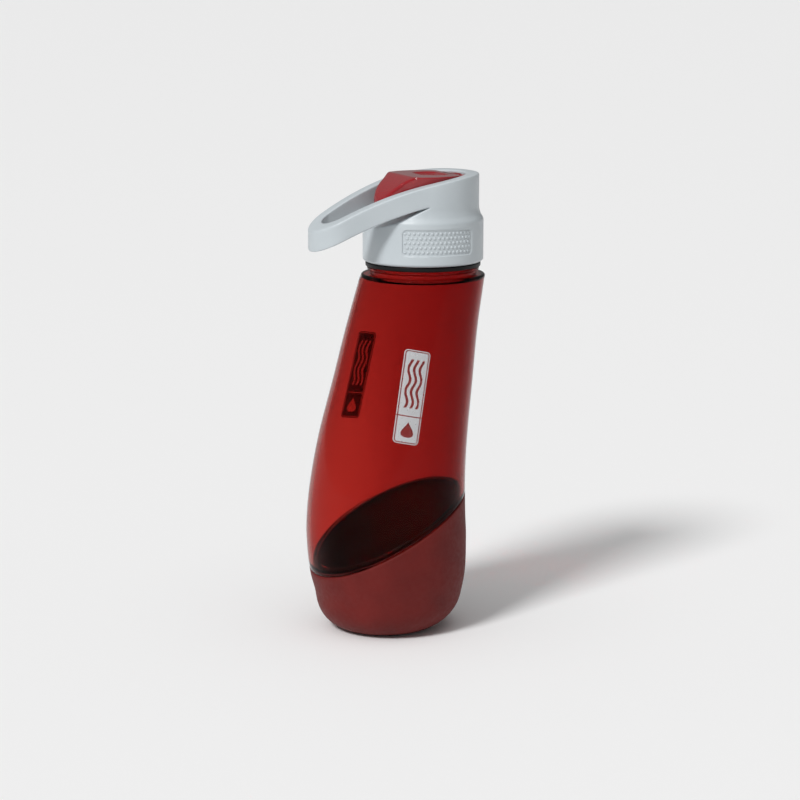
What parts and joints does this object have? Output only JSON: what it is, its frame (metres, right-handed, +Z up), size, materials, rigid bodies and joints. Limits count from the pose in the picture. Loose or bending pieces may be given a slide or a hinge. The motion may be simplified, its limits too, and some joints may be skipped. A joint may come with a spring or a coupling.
{
  "type": "travel water bottle with bowl base",
  "caption": "Leaning translucent travel bottle with a screw lid, fixed carry loop and flip cap, its base seated in a pull-off soft drinking bowl with an oblique rim.",
  "frame": {"origin": "centre of the bowl's flat foot, on the surface that the bottle stands on", "axes": "+Z up; the XZ plane is the mirror plane of the outside, with the belly and the carry loop towards -X and the neck leaning towards +X; the label seen first faces -Y"},
  "size_m": [0.1017, 0.09, 0.2555],
  "materials": {
    "bowl_silicone": "matte",
    "bottle_plastic": "clear gloss",
    "black_rubber": "satin",
    "label_print": "satin print",
    "clear_silicone": "satin",
    "lid_plastic": "fine satin",
    "insert_plastic": "gloss",
    "cap_plastic": "gloss",
    "pin_steel": "drawn"
  },
  "bodies": {
    "bowl": {"bowl": "bowl_silicone"},
    "bottle": {"bottle_body": "bottle_plastic", "neck_ring": "black_rubber", "near_label": "label_print", "far_label": "label_print"},
    "seal": {"lid_seal": "clear_silicone"},
    "lid": {"lid_shell": "lid_plastic", "spout_insert": "insert_plastic", "hinge_pin": "pin_steel", "vent_valve": "clear_silicone"},
    "cap": {"flip_cap": "cap_plastic", "cap_plug": "clear_silicone"}
  },
  "joints": [
    {"name": "bottle_pull", "type": "slide", "parent": "bowl", "child": "bottle", "axis": [0, 0, 1], "range_m": [0, 0.085]},
    {"name": "lid_lift", "type": "slide", "parent": "bottle", "child": "seal", "axis": [0, 0, 1], "range_m": [0, 0.0057]},
    {"name": "lid_turn", "type": "hinge", "parent": "seal", "child": "lid", "pos_m": [0.0236, 0, 0.215], "axis": [0, 0, 1], "range_deg": [0, 450]},
    {"name": "cap_flip", "type": "hinge", "parent": "lid", "child": "cap", "pos_m": [0.0431, 0, 0.2525], "axis": [0, 1, 0], "range_deg": [0, 90]}
  ],
  "couplings": [
    {"joint": "lid_lift", "follows": "lid_turn", "m_per_rad": 0.0007162}
  ]
}
